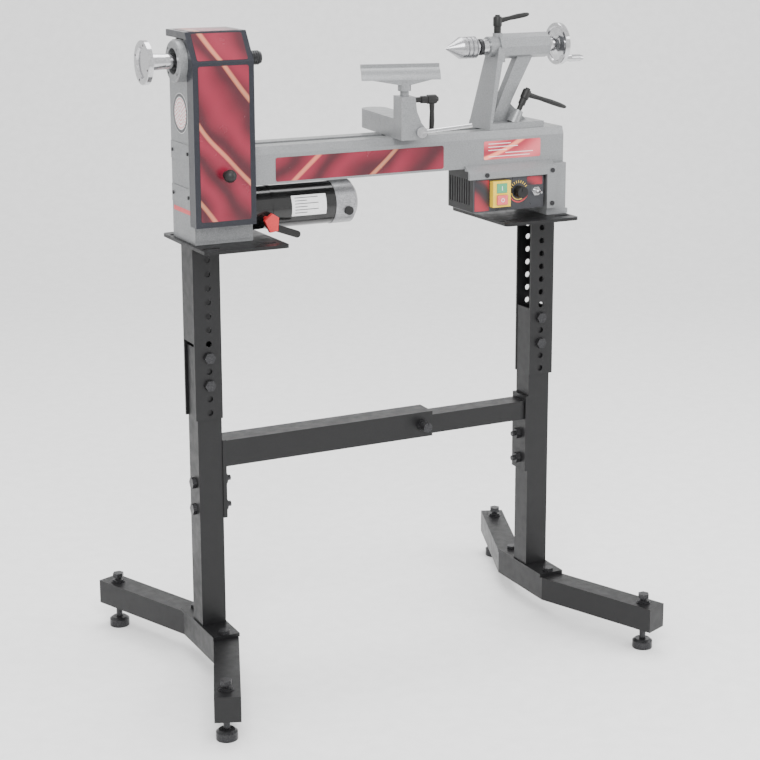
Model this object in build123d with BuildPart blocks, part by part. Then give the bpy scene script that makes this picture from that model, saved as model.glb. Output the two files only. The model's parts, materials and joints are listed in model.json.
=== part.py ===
"""Midi wood lathe on its height-adjustable steel stand.

Frame: X runs along the bed to the right, Y runs away from the operator, Z is up.
The origin is on the floor, midway between the two posts. All sizes are in mm.
"""
import os
from math import cos, radians, sin, sqrt, tan

from build123d import *

os.makedirs("parts", exist_ok=True)

# ---------------------------------------------------------------- fits
slip = 0.3            # air between faces that slide past each other
run = 0.05            # radial running fit of a pin, shaft or screw

# ---------------------------------------------------------------- stand
post_x = 346.0        # post centre from the middle of the stand
tube = 46.0           # outside of the post tube
tube_wall = 3.0
foot_h = 46.0         # height of a foot beam
foot_z = 44.0         # underside of the foot beams
foot_mid = 80.0       # half length of the straight middle of a foot
toe_x = 438.0         # centre of a toe's end
toe_y = 312.0
foot_plate_t = 7.0
foot_plate_y = 81.5
foot_plate_x = 52.0
tube_top = 622.5
pitch = 25.4          # height holes
hole_count = 12
hole_r = 5.6
top_hole_z = 781.9
bracket_t = 4.0       # sheet of the upper brackets
bracket_lip = 24.0    # how far the flanges reach inward of the post centre
web_bottom = 631.0
flange_bottom = 490.0
plate_z = 806.4       # underside of the top plates
plate_t = 6.0
plate_in = 219.6      # inner edge of a top plate, from the middle
plate_out = 379.0
plate_y = 106.0
slot_w = 11.0
slot_l = 34.0
bolt_rows = (7, 9)    # which height holes carry the bolts
bolt_r = 5.0
bolt_head_r = 9.2
bolt_head_h = 6.5
bar_z = 421.5         # crossbar centre
bar_h = 49.0
bar_w = 50.0
bar_wall = 3.0
bar_in_h = 37.0
bar_in_w = 40.0
sleeve_end = 108.0
bar_overlap = 150.0
end_plate_t = 7.0
end_plate_z0 = 300.0
end_plate_z1 = 447.0
end_plate_w = 50.0
bracket_bolt_z = (317.0, 367.0)
leveller_x = 428.0
leveller_y = 281.0
leveller_r = 6.0
pad_r = 19.0
pad_h = 18.0
nut_t = 5.0
leveller_head_z = 100.0
leveller_head_h = 8.0

foot_top = foot_z + foot_h
tube_z0 = foot_top + foot_plate_t
plate_top = plate_z + plate_t
tube_face = tube / 2
flange_in = tube_face + slip
flange_out = flange_in + bracket_t

# ---------------------------------------------------------------- bed
bed_top = 978.7
centre_h = 152.4      # spindle centre over the bed
bed_y = 47.0          # half width of the bed
bed_bevel = 14.0
bed_bevel_y = 5.0
bed_drop = 67.7       # depth of the bed section
bed_wall = 8.0
slot_half = 12.0      # half width of the slot between the ways
bed_x1 = 378.0
leg_x0 = 336.0
leg_y = 58.0
axis_z = bed_top + centre_h
bed_bottom = bed_top - bed_drop

# ---------------------------------------------------------------- headstock
head_x0 = -371.6
head_x1 = -262.6
head_y0 = -40.0
head_y1 = 68.0
head_top = 1165.0
head_wall = 11.0
head_floor = 12.0
cover_gap = slip
cover_front = -58.0
cover_wall = 4.0
cover_z0 = 845.0
cover_bend_z = 1131.0
cover_top = 1182.0
cover_top_y = -24.0
cover_lip_y = -30.0
cover_side = 4.5      # how far the cover stands outside the casting on each side
hinge_r = 3.0
spindle_r = 12.5
nose_r = 12.7
nose_l = 36.0
bearing_r = 26.0
bearing_w = 15.0
pulley_r = 30.0
motor_pulley_r = 18.0
pulley_w = 22.0
pulley_x = -330.0
belt_t = 3.0
ring_r = 36.5
ring_t = 19.0
ring_bore = 23.0
wheel_r = 38.5
wheel_x0 = -447.0
wheel_t = 9.0

# ---------------------------------------------------------------- motor
motor_y = 12.0
motor_z = 861.0
motor_r = 39.0
motor_x1 = -92.0
cap_x1 = -45.0
motor_shaft_r = 7.0

# ---------------------------------------------------------------- controls
box_x0 = 175.0
box_x1 = 327.0
box_y0 = -58.0
box_y1 = 38.0
box_z0 = 829.0
box_wall = 2.0
panel_t = 2.0
bezel_x0 = 163.0
bezel_x1 = 352.0
bezel_y0 = -66.0
bezel_z0 = 892.0
bezel_z1 = 917.0
bezel_bevel = 13.0
switch_x0 = 210.0
switch_x1 = 248.0
switch_z0 = 838.0
switch_z1 = 887.0
switch_t = 12.0
button_w = 22.0
button_h = 18.0
dial_x = 272.0
dial_z = 863.0
dial_r = 11.0
toggle_x = 310.0
toggle_z = 861.0

# ---------------------------------------------------------------- tailstock
tail_x = 219.0        # left face of the column at the bed
tail_lean = 18.0      # how far the column leans right by the time it meets the barrel
tail_wall = 8.0
tail_y = 40.0
tail_base_x1 = 338.0
tail_base_t = 12.0
barrel_r = 22.0
barrel_x0 = 254.5
barrel_x1 = 363.0
quill_r = 15.0
quill_x0 = 223.0
tip_x = 144.5
rib_t = 18.0
collar_r = 19.0
tail_wheel_r = 40.0
tail_wheel_x = 390.5
crank_pin_r = 33.6
clamp_x = 281.0
clamp_y = -22.0
clamp_tilt = 27.0

# ---------------------------------------------------------------- banjo and tool rest
banjo_x = 43.0
banjo_lean = 6.0      # degrees the arm leans to the right at the back
arm_half = 25.0
arm_y1 = 135.0
arm_h = 36.0
block_y0 = -92.0
block_y1 = -52.0
block_top = 78.0      # above the bed
block_w = 27.0
post_r = 8.0
post_u = -11.5        # post place in the arm's own frame
post_v = -72.0
rest_turn = 16.0
rest_top = 1114.0
rest_left = 79.0
rest_right = 65.0
rest_h = 28.0
rest_collar_r = 12.0
rest_collar_z0 = 1066.0
rest_collar_z1 = 1082.0
cam_v = -92.0
cam_u = 12.0
cam_z = 14.0
rod_l = 98.0
rod_r = 4.2


# ---------------------------------------------------------------- helpers
def block(x0, x1, y0, y1, z0, z1, mode=Mode.ADD):
    """A box between two corners, in the frame of the open part."""
    with Locations(((x0 + x1) / 2, (y0 + y1) / 2, (z0 + z1) / 2)):
        Box(x1 - x0, y1 - y0, z1 - z0, mode=mode)


def rod_along_x(x0, x1, y, z, r, mode=Mode.ADD):
    with Locations(((x0 + x1) / 2, y, z)):
        Cylinder(r, x1 - x0, rotation=(0, 90, 0), mode=mode)


def rod_along_y(y0, y1, x, z, r, mode=Mode.ADD):
    with Locations((x, (y0 + y1) / 2, z)):
        Cylinder(r, y1 - y0, rotation=(90, 0, 0), mode=mode)


def rod_along_z(z0, z1, x, y, r, mode=Mode.ADD):
    with Locations((x, y, (z0 + z1) / 2)):
        Cylinder(r, z1 - z0, mode=mode)


def turned_x(points, y=0.0, z=axis_z):
    """Turn a half profile of (x, radius) points about a line along X."""
    with BuildSketch(Plane(origin=(0, y, z), x_dir=(1, 0, 0), z_dir=(0, -1, 0))) as outline:
        with BuildLine():
            Polyline(*points, close=True)
        make_face()
    revolve(outline.sketch, axis=Axis((0, y, z), (1, 0, 0)))


def hexagon_x(x0, x1, y, z, flats):
    with BuildSketch(Plane(origin=(x0, y, z), x_dir=(0, 1, 0), z_dir=(1, 0, 0))) as outline:
        RegularPolygon(flats / 2, 6, major_radius=False)
    extrude(outline.sketch, amount=x1 - x0)


def hexagon_y(y0, y1, x, z, flats):
    with BuildSketch(Plane(origin=(x, y0, z), x_dir=(1, 0, 0), z_dir=(0, 1, 0))) as outline:
        RegularPolygon(flats / 2, 6, major_radius=False)
    extrude(outline.sketch, amount=y1 - y0)


def hexagon_z(z0, z1, x, y, flats):
    with BuildSketch(Plane.XY.offset(z0)) as outline:
        with Locations((x, y)):
            RegularPolygon(flats / 2, 6, major_radius=False)
    extrude(outline.sketch, amount=z1 - z0)


def side_profile(x0, x1, points, mode=Mode.ADD):
    """Push a (y, z) outline along X."""
    with BuildSketch(Plane(origin=(x0, 0, 0), x_dir=(0, 1, 0), z_dir=(1, 0, 0))) as outline:
        with BuildLine():
            Polyline(*points, close=True)
        make_face()
    extrude(outline.sketch, amount=x1 - x0, mode=mode)


def front_profile(y0, y1, points, mode=Mode.ADD):
    """Push an (x, z) outline back along Y."""
    with BuildSketch(Plane(origin=(0, y1, 0), x_dir=(1, 0, 0), z_dir=(0, -1, 0))) as outline:
        with BuildLine():
            Polyline(*points, close=True)
        make_face()
    extrude(outline.sketch, amount=y1 - y0, mode=mode)


def save(piece, name):
    """Label the finished part and write its STEP file."""
    piece.label = name
    export_step(piece, "parts/" + name + ".step")


# ---------------------------------------------------------------- stand: feet and posts
def mitred(half, inset):
    """Plan of the right-hand foot beam, half wide on each side of its centre line, with mitred corners."""
    run_x = toe_x - post_x
    run_y = toe_y - foot_mid
    length = sqrt(run_x * run_x + run_y * run_y)
    ux = run_x / length
    uy = run_y / length

    def corner(x):
        # where the vertical line x meets the splayed line on the same side
        side = 1.0 if x > post_x else -1.0
        px = post_x + side * half * uy
        py = foot_mid - side * half * ux
        return py + (x - px) * uy / ux

    outer_y = corner(post_x + half)
    inner_y = corner(post_x - half)
    end_x = toe_x - inset * ux
    end_y = toe_y - inset * uy
    outer_tip = (end_x + half * uy, end_y - half * ux)
    inner_tip = (end_x - half * uy, end_y + half * ux)
    points = [(post_x + half, -outer_y), (post_x + half, outer_y), outer_tip, inner_tip]
    points += [(post_x - half, inner_y), (post_x - half, -inner_y)]
    points += [(inner_tip[0], -inner_tip[1]), (outer_tip[0], -outer_tip[1])]
    return points


def foot_beam():
    """Right-hand foot: a mitred box beam with closed ends and screw holes."""
    with BuildSketch(Plane.XY.offset(foot_z)) as outline:
        with BuildLine():
            Polyline(*mitred(tube / 2, 0.0), close=True)
        make_face()
    extrude(outline.sketch, amount=foot_h)
    with BuildSketch(Plane.XY.offset(foot_z + tube_wall)) as outline:
        with BuildLine():
            Polyline(*mitred(tube / 2 - tube_wall, tube_wall), close=True)
        make_face()
    extrude(outline.sketch, amount=foot_h - 2 * tube_wall, mode=Mode.SUBTRACT)
    for y in (-leveller_y, leveller_y):
        rod_along_z(foot_z - 1, foot_top + 1, leveller_x, y, leveller_r + run, Mode.SUBTRACT)
    for y in (-foot_bolt_y, foot_bolt_y):
        rod_along_z(foot_z - 1, foot_top + 1, post_x, y, bolt_r + run, Mode.SUBTRACT)


foot_bolt_y = 70.0


def post():
    """Right-hand lower post: square tube welded on its foot plate."""
    block(post_x - foot_plate_x / 2, post_x + foot_plate_x / 2, -foot_plate_y, foot_plate_y, foot_top, tube_z0)
    half = tube / 2
    block(post_x - half, post_x + half, -half, half, tube_z0, tube_top)
    hollow = half - tube_wall
    block(post_x - hollow, post_x + hollow, -hollow, hollow, tube_z0, tube_top + 1, Mode.SUBTRACT)
    for y in (-foot_bolt_y, foot_bolt_y):
        rod_along_z(foot_top - 1, tube_z0 + 1, post_x, y, bolt_r + run, Mode.SUBTRACT)
    for row in bolt_rows:
        rod_along_y(-half - 1, half + 1, post_x, top_hole_z - pitch * row, bolt_r + run, Mode.SUBTRACT)
    for z in bracket_bolt_z:
        rod_along_x(post_x - half - 1, post_x + half + 1, 0, z, bolt_r + run, Mode.SUBTRACT)


def top_bracket(slots):
    """Right-hand upper bracket: a channel open to the inside, welded under a slotted plate."""
    web_x = post_x + tube / 2 + slip
    lip_x = post_x - bracket_lip
    for side in (-1, 1):
        y0 = min(side * flange_in, side * flange_out)
        y1 = max(side * flange_in, side * flange_out)
        block(lip_x, web_x + bracket_t, y0, y1, flange_bottom, plate_z)
    block(web_x, web_x + bracket_t, -flange_out, flange_out, web_bottom, plate_z)
    for row in range(hole_count):
        rod_along_y(-flange_out - 1, flange_out + 1, post_x, top_hole_z - pitch * row, hole_r, Mode.SUBTRACT)
    with BuildSketch(Plane.XY.offset(plate_z)) as outline:
        with Locations(((plate_in + plate_out) / 2, 0)):
            RectangleRounded(plate_out - plate_in, 2 * plate_y, 8)
        for x, y, turn in slots:
            with Locations(Location((x, y), turn)):
                SlotOverall(slot_l, slot_w, mode=Mode.SUBTRACT)
    extrude(outline.sketch, amount=plate_t)


right_slots = ((358.0, -78.0, 0.0), (358.0, 78.0, 0.0), (250.0, -78.0, 0.0), (250.0, 78.0, 0.0))

with BuildPart() as right_foot:
    foot_beam()
with BuildPart() as left_foot:
    foot_beam()
    mirror(about=Plane.YZ, mode=Mode.REPLACE)
with BuildPart() as right_post:
    post()
with BuildPart() as left_post:
    post()
    mirror(about=Plane.YZ, mode=Mode.REPLACE)
with BuildPart() as right_bracket:
    top_bracket(right_slots)
with BuildPart() as left_bracket:
    top_bracket(right_slots)
    mirror(about=Plane.YZ, mode=Mode.REPLACE)
for piece, name in ((right_foot, "right_foot"), (left_foot, "left_foot"), (right_post, "right_post"),
                    (left_post, "left_post"), (right_bracket, "right_bracket"), (left_bracket, "left_bracket")):
    save(piece.part, name)

end_in = post_x - tube / 2 - end_plate_t


def height_bolt(side, row):
    """Head in front, nut behind."""
    z = top_hole_z - pitch * row
    rod_along_y(-flange_out, flange_out + 14, side * post_x, z, bolt_r)
    hexagon_y(-flange_out - bolt_head_h, -flange_out, side * post_x, z, 2 * bolt_head_r)
    hexagon_y(flange_out, flange_out + 9, side * post_x, z, 2 * bolt_head_r)


def crossbar_bolt(side, z):
    """Head outside the post, nut inside."""
    x_out = side * (post_x + tube / 2)
    x_in = side * end_in
    rod_along_x(min(x_in - side * 16, x_out), max(x_in - side * 16, x_out), 0, z, bolt_r)
    hexagon_x(min(x_out, x_out + side * 7), max(x_out, x_out + side * 7), 0, z, 2 * bolt_head_r)
    hexagon_x(min(x_in, x_in - side * 9), max(x_in, x_in - side * 9), 0, z, 2 * bolt_head_r)


def foot_bolt(side, y):
    """Head on the foot plate, nut under the foot."""
    x = side * post_x
    rod_along_z(foot_z - 10, tube_z0, x, y, bolt_r)
    hexagon_z(tube_z0, tube_z0 + 6.5, x, y, 2 * bolt_head_r)
    hexagon_z(foot_z - 8, foot_z, x, y, 2 * bolt_head_r)


hold_downs = ((-300.0, -25.0), (-285.0, 50.0), (-356.0, 48.0), (360.0, -44.0), (360.0, 44.0))
with BuildPart() as stand_bolts:
    for side in (-1, 1):
        for row in bolt_rows:
            height_bolt(side, row)
        for z in bracket_bolt_z:
            crossbar_bolt(side, z)
        for y in (-foot_bolt_y, foot_bolt_y):
            foot_bolt(side, y)
    for x, y in hold_downs:
        hexagon_z(plate_z - bolt_head_h, plate_z, x, y, 2 * bolt_head_r)
save(stand_bolts.part, "stand_bolts")

# ---------------------------------------------------------------- stand: levelling feet
leveller_places = (("front_left", -1, -1), ("front_right", 1, -1), ("back_left", -1, 1), ("back_right", 1, 1))
for place, sx, sy in leveller_places:
    x = sx * leveller_x
    y = sy * leveller_y
    with BuildPart() as leveller:
        rod_along_z(pad_h, leveller_head_z, x, y, leveller_r)
        hexagon_z(leveller_head_z, leveller_head_z + leveller_head_h, x, y, 19)
        rod_along_z(0, pad_h - 4, x, y, pad_r)
        with Locations((x, y, pad_h - 2)):
            Cone(pad_r, pad_r - 5, 4)
    save(leveller.part, "leveller_" + place)

with BuildPart() as leveller_nuts:
    for place, sx, sy in leveller_places:
        x = sx * leveller_x
        y = sy * leveller_y
        rod_along_z(foot_top, foot_top + 1.5, x, y, 13.5)
        hexagon_z(foot_top + 1.5, foot_top + nut_t, x, y, 21)
        rod_along_z(foot_top - 1, foot_top + nut_t + 1, x, y, leveller_r + run, Mode.SUBTRACT)
save(leveller_nuts.part, "leveller_nuts")

# ---------------------------------------------------------------- stand: crossbar
bar_x0 = -end_in
with BuildPart() as crossbar_sleeve:
    block(bar_x0 - end_plate_t, bar_x0, -end_plate_w / 2, end_plate_w / 2, end_plate_z0, end_plate_z1)
    block(bar_x0, sleeve_end, -bar_w / 2, bar_w / 2, bar_z - bar_h / 2, bar_z + bar_h / 2)
    block(bar_x0, sleeve_end + 1, -bar_w / 2 + bar_wall, bar_w / 2 - bar_wall,
          bar_z - bar_h / 2 + bar_wall, bar_z + bar_h / 2 - bar_wall, Mode.SUBTRACT)
    for z in bracket_bolt_z:
        rod_along_x(bar_x0 - end_plate_t - 1, bar_x0 + 1, 0, z, bolt_r + run, Mode.SUBTRACT)
    rod_along_y(-bar_w / 2 - 1, -bar_w / 2 + bar_wall + 1, sleeve_end - 23, bar_z, bolt_r + run, Mode.SUBTRACT)
save(crossbar_sleeve.part, "crossbar_sleeve")

bar_in_z0 = bar_z - bar_h / 2 + bar_wall
with BuildPart() as crossbar_slide:
    block(end_in, end_in + end_plate_t, -end_plate_w / 2, end_plate_w / 2, end_plate_z0 - 6, end_plate_z1)
    block(sleeve_end - bar_overlap, end_in, -bar_in_w / 2, bar_in_w / 2, bar_in_z0, bar_in_z0 + bar_in_h)
    block(sleeve_end - bar_overlap - 1, end_in, -bar_in_w / 2 + bar_wall, bar_in_w / 2 - bar_wall,
          bar_in_z0 + bar_wall, bar_in_z0 + bar_in_h - bar_wall, Mode.SUBTRACT)
    for z in bracket_bolt_z:
        rod_along_x(end_in - 1, end_in + end_plate_t + 1, 0, z, bolt_r + run, Mode.SUBTRACT)
save(crossbar_slide.part, "crossbar_slide")

lock_x = sleeve_end - 23
with BuildPart() as crossbar_lock:
    rod_along_y(-bar_w / 2 - 8, -bar_in_w / 2, lock_x, bar_z, bolt_r)
    rod_along_y(-bar_w / 2 - 26, -bar_w / 2 - 8, lock_x, bar_z, 9)
    hexagon_y(-bar_w / 2 - 6, -bar_w / 2, lock_x, bar_z, 19)
save(crossbar_lock.part, "crossbar_lock")

# ---------------------------------------------------------------- bed
ways_y = bed_y - bed_bevel_y
with BuildPart() as bed:
    side_profile(head_x1, bed_x1, ((-bed_y, bed_bottom), (bed_y, bed_bottom), (bed_y, bed_top - bed_bevel),
                                   (ways_y, bed_top), (-ways_y, bed_top), (-bed_y, bed_top - bed_bevel)))
    block(head_x1 + 14, bed_x1 - 14, -bed_y + bed_wall, bed_y - bed_wall, bed_bottom - 1, bed_top - 16, Mode.SUBTRACT)
    block(head_x1 + 20, bed_x1 - 24, -slot_half, slot_half, bed_top - 30, bed_top + 1, Mode.SUBTRACT)
    # leg under the free end
    block(leg_x0, bed_x1, -leg_y, leg_y, plate_top, bed_bottom)
    block(leg_x0 + 8, bed_x1 - 8, -leg_y + 8, leg_y - 8, plate_top - 1, bed_bottom - 8, Mode.SUBTRACT)
    block(leg_x0, bed_x1 + 5, -leg_y, -leg_y + 22, plate_top, plate_top + 10)
    block(leg_x0, bed_x1 + 5, leg_y - 22, leg_y, plate_top, plate_top + 10)
save(bed.part, "bed")

# ---------------------------------------------------------------- headstock
hollow_x0 = head_x0 + head_wall
hollow_x1 = head_x1 - head_wall
head_outline = ((head_y0, plate_top), (head_y1, plate_top), (head_y1, head_top - 20), (head_y1 - 20, head_top),
                (-18, head_top), (head_y0, head_top - 34))
with BuildPart() as headstock:
    side_profile(head_x0, head_x1, head_outline)
    block(hollow_x0, hollow_x1, head_y0 - 1, head_y1 - 8, plate_top + head_floor, head_top + 1, Mode.SUBTRACT)
    for x0, x1 in ((head_x0, hollow_x0 + 5), (hollow_x1 - 5, head_x1)):
        rod_along_x(x0, x1, 0, axis_z, bearing_r + 7)
    rod_along_x(head_x0 - 1, head_x1 + 1, 0, axis_z, bearing_r, Mode.SUBTRACT)
    rod_along_x(hollow_x1 - 1, head_x1 + 1, motor_y, motor_z, motor_shaft_r + 1, Mode.SUBTRACT)
save(headstock.part, "headstock")

with BuildPart() as bearings:
    for x0 in (head_x0, head_x1 - bearing_w):
        turned_x(((x0, spindle_r + run), (x0 + bearing_w, spindle_r + run), (x0 + bearing_w, bearing_r),
                  (x0, bearing_r)))
save(bearings.part, "bearings")

with BuildPart() as accessory_ring:
    turned_x(((head_x0 - ring_t, ring_bore), (head_x0, ring_bore), (head_x0, ring_r), (head_x0 - ring_t + 2, ring_r),
              (head_x0 - ring_t, ring_r - 2)))
    for k in range(4):
        y = (ring_r + ring_bore) / 2 * cos(radians(45 + 90 * k))
        z = (ring_r + ring_bore) / 2 * sin(radians(45 + 90 * k))
        rod_along_x(head_x0 - ring_t - 1, head_x0 - 4, y, axis_z + z, 2.5, Mode.SUBTRACT)
save(accessory_ring.part, "accessory_ring")

with BuildPart() as access_panels:
    for z0, z1 in ((955.0, 986.0), (878.0, 909.0)):
        block(head_x0 - 1.5, head_x0, -24, head_y1 - 2, z0, z1)
save(access_panels.part, "access_panels")

# spindle: shaft, shoulder and threaded nose
shoulder_x = head_x1 + 4
nose_end = head_x1 + nose_l
nose = [(wheel_x0 + wheel_t + 4, 0), (wheel_x0 + wheel_t + 4, spindle_r - 2), (head_x0 - 2, spindle_r - 2),
        (head_x0 - 2, spindle_r), (head_x1, spindle_r), (head_x1, 17), (shoulder_x, 17)]
ridge = 4.0
x = shoulder_x
while x + ridge < nose_end:
    nose += [(x, nose_r - 1.4), (x + ridge * 0.5, nose_r - 1.4), (x + ridge * 0.5, nose_r), (x + ridge, nose_r)]
    x += ridge
nose += [(x, nose_r - 2), (nose_end, nose_r - 2), (nose_end, 0)]
with BuildPart() as spindle:
    turned_x(nose)
    rod_along_x(nose_end - 30, nose_end + 1, 0, axis_z, 8.5, Mode.SUBTRACT)
save(spindle.part, "spindle")

with BuildPart() as outboard_wheel:
    hub_x1 = head_x0 - ring_t - 16
    turned_x(((wheel_x0 + 4, 0), (wheel_x0 + 4, 25), (wheel_x0, 27), (wheel_x0, wheel_r - 1), (wheel_x0 + 1, wheel_r),
              (wheel_x0 + wheel_t, wheel_r), (wheel_x0 + wheel_t, 24), (wheel_x0 + wheel_t + 8, 15),
              (hub_x1, 13.5), (head_x0 - 2, 13.5), (head_x0 - 2, spindle_r - 2),
              (wheel_x0 + wheel_t + 4, spindle_r - 2), (wheel_x0 + wheel_t + 4, 0)))
    for k in range(4):
        y = 32 * cos(radians(20 + 90 * k))
        z = 32 * sin(radians(20 + 90 * k))
        rod_along_x(wheel_x0 - 1, wheel_x0 + wheel_t + 1, y, axis_z + z, 2.2, Mode.SUBTRACT)
save(outboard_wheel.part, "outboard_wheel")


def grooved_pulley(x, y, z, r, bore):
    """A pulley with fine grooves and a rim on each side."""
    half = pulley_w / 2
    points = [(x - half, bore), (x - half, r + 3), (x - half + 3, r + 3)]
    groove = (pulley_w - 6) / 6
    for k in range(6):
        gx = x - half + 3 + groove * k
        points += [(gx, r), (gx + groove * 0.5, r - 1.6)]
    points += [(x + half - 3, r), (x + half - 3, r + 3), (x + half, r + 3), (x + half, bore)]
    turned_x(points, y, z)


with BuildPart() as spindle_pulley:
    grooved_pulley(pulley_x, 0, axis_z, pulley_r, spindle_r)
save(spindle_pulley.part, "spindle_pulley")

with BuildPart() as motor_pulley:
    grooved_pulley(pulley_x, motor_y, motor_z, motor_pulley_r, motor_shaft_r)
save(motor_pulley.part, "motor_pulley")


def belt_outline(extra):
    """Outline of the belt in the YZ plane: two arcs and their outer tangents."""
    r1 = pulley_r + slip + extra
    r2 = motor_pulley_r + slip + extra
    with BuildSketch(Plane(origin=(pulley_x - 6.5, 0, 0), x_dir=(0, 1, 0), z_dir=(1, 0, 0))) as outline:
        with Locations((0, axis_z)):
            Circle(r1)
        with Locations((motor_y, motor_z)):
            Circle(r2)
        make_hull()
    return outline.sketch


with BuildPart() as drive_belt:
    extrude(belt_outline(belt_t), amount=13)
    extrude(belt_outline(0.0), amount=13, mode=Mode.SUBTRACT)
save(drive_belt.part, "drive_belt")

# ---------------------------------------------------------------- belt cover
cover_hinge_y = head_y1 - 5
cover_hinge_z = cover_top - 17
cover_x0 = head_x0 - cover_side
cover_x1 = head_x1
cover_in_y = cover_front + cover_wall
cover_outer = ((cover_front, cover_z0), (cover_front, cover_bend_z), (cover_top_y, cover_top), (head_y1, cover_top),
               (head_y1, cover_top - 12), (cover_lip_y + 14, cover_top - 12), (cover_lip_y, cover_bend_z - 8),
               (cover_lip_y, cover_z0))
with BuildPart() as belt_cover:
    side_profile(cover_x0, cover_x1, cover_outer)
    inner_x0 = head_x0 - slip
    inner_x1 = cover_x1 - cover_wall
    inside_top = cover_top - cover_wall
    side_profile(inner_x0, inner_x1, ((cover_in_y, cover_z0 + cover_wall), (cover_in_y, cover_bend_z - 2),
                                      (cover_top_y + 2, inside_top), (head_y1 + 1, inside_top),
                                      (head_y1 + 1, cover_z0 + cover_wall)), Mode.SUBTRACT)
    # room for the casting's walls and for the ring on the left
    block(head_x0 - slip, cover_x1 + 1, head_y0 - slip, head_y1, cover_z0 - 1, cover_z0 + cover_wall + 1, Mode.SUBTRACT)
    side_profile(hollow_x1 - 6, cover_x1 + 1, ((head_y0 - slip, cover_z0 - 1), (head_y0 - slip, head_top - 33),
                                               (-18.5, head_top + slip), (head_y1 + 1, head_top + slip),
                                               (head_y1 + 1, cover_z0 - 1)), Mode.SUBTRACT)
    rod_along_x(cover_x0 - 1, head_x0 + 1, 0, axis_z, ring_r + 1, Mode.SUBTRACT)
    # knuckle that turns on the hinge pin
    rod_along_x(-335, -305, cover_hinge_y, cover_hinge_z, 6)
    block(-335, -305, cover_hinge_y - 4, cover_hinge_y + 4, cover_hinge_z, cover_top - cover_wall)
    rod_along_x(-336, -304, cover_hinge_y, cover_hinge_z, hinge_r + run, Mode.SUBTRACT)
save(belt_cover.part, "belt_cover")

knob_x = -318.0
knob_z = 936.0
with BuildPart() as cover_knob:
    rod_along_y(cover_front - 8, cover_front, knob_x, knob_z, 7)
    with Locations((knob_x, cover_front - 17, knob_z)):
        Sphere(11.5)
save(cover_knob.part, "cover_knob")

with BuildPart() as cover_hinge:
    rod_along_x(head_x0 + 12, head_x1 - 12, cover_hinge_y, cover_hinge_z, hinge_r)
    for x in (head_x0 + 20, head_x1 - 32):
        block(x, x + 12, head_y1 - 8, head_y1 - 2, head_top - 24, cover_hinge_z)
    side_profile(head_x0, head_x1, head_outline, Mode.SUBTRACT)
save(cover_hinge.part, "cover_hinge")

# ---------------------------------------------------------------- motor
lever_pivot_x = -226.0
lever_pivot_z = 834.0
lever_y0 = motor_y - motor_r - 9
tab_x = -232.0
tab_z = 848.0
tab_y0 = motor_y - motor_r - 18
brush_x = -68.0
brush_z = motor_z - 12


def brush_cap(side, mode=Mode.ADD):
    y = motor_y + side * (motor_r + 1)
    rod_along_y(min(y - side * 6, y + side * 4), max(y - side * 6, y + side * 4), brush_x, brush_z, 8, mode)


with BuildPart() as motor_body:
    rod_along_x(head_x1, head_x1 + 6, motor_y, motor_z, motor_r + 3)
    rod_along_x(head_x1 + 6, motor_x1, motor_y, motor_z, motor_r)
    rod_along_x(head_x1 + 46, head_x1 + 52, motor_y, motor_z, motor_r + 0.8)
    rod_along_y(lever_y0, -6, lever_pivot_x, lever_pivot_z, 4 + run, Mode.SUBTRACT)
    rod_along_y(tab_y0, -10, tab_x, tab_z, 3.5, Mode.SUBTRACT)
save(motor_body.part, "motor_body")

with BuildPart() as motor_cap:
    turned_x(((motor_x1, 0), (motor_x1, motor_r + 1), (cap_x1 - 8, motor_r + 1), (cap_x1, motor_r - 9), (cap_x1, 0)),
             motor_y, motor_z)
    for side in (-1, 1):
        brush_cap(side, Mode.SUBTRACT)
save(motor_cap.part, "motor_cap")

with BuildPart() as brush_caps:
    for side in (-1, 1):
        brush_cap(side)
save(brush_caps.part, "brush_caps")

with BuildPart() as motor_shaft:
    rod_along_x(pulley_x - pulley_w / 2 - 4, head_x1, motor_y, motor_z, motor_shaft_r)
save(motor_shaft.part, "motor_shaft")

with BuildPart() as tension_lever:
    rod_along_y(lever_y0, lever_y0 + 9, lever_pivot_x, lever_pivot_z, 7)
    rod_along_y(lever_y0 + 9, -8, lever_pivot_x, lever_pivot_z, 4)
    with BuildSketch(Plane(origin=(lever_pivot_x, lever_y0, lever_pivot_z),
                           x_dir=(cos(radians(20)), 0, -sin(radians(20))), z_dir=(0, 1, 0))) as outline:
        with Locations((27, 0)):
            SlotOverall(68, 13)
    extrude(outline.sketch, amount=7)
save(tension_lever.part, "tension_lever")

with BuildPart() as tension_tab:
    front_profile(tab_y0, tab_y0 + 8.5, ((-241, 846), (-226, 858), (-214, 850), (-216, 826), (-231, 824)))
    rod_along_y(tab_y0 + 8, -10, tab_x, tab_z, 3.5)
save(tension_tab.part, "tension_tab")

# ---------------------------------------------------------------- controls
box_top = bed_bottom
with BuildPart() as control_box:
    block(box_x0, box_x1, box_y0, box_y1, box_z0, box_top)
    block(box_x0 + box_wall, box_x1 - box_wall, box_y0 - 1, box_y1 - box_wall, box_z0 + box_wall, box_top - box_wall,
          Mode.SUBTRACT)
    block(box_x0 - 1, box_x1 + 1, box_y0 - 1, -bed_y, box_top - 20, box_top + 1, Mode.SUBTRACT)
    for k in range(9):
        y = box_y0 + 14 + 9 * k
        block(box_x0 - 1, box_x0 + box_wall + 1, y, y + 3, box_z0 + 12, box_top - 22, Mode.SUBTRACT)
save(control_box.part, "control_box")

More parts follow.
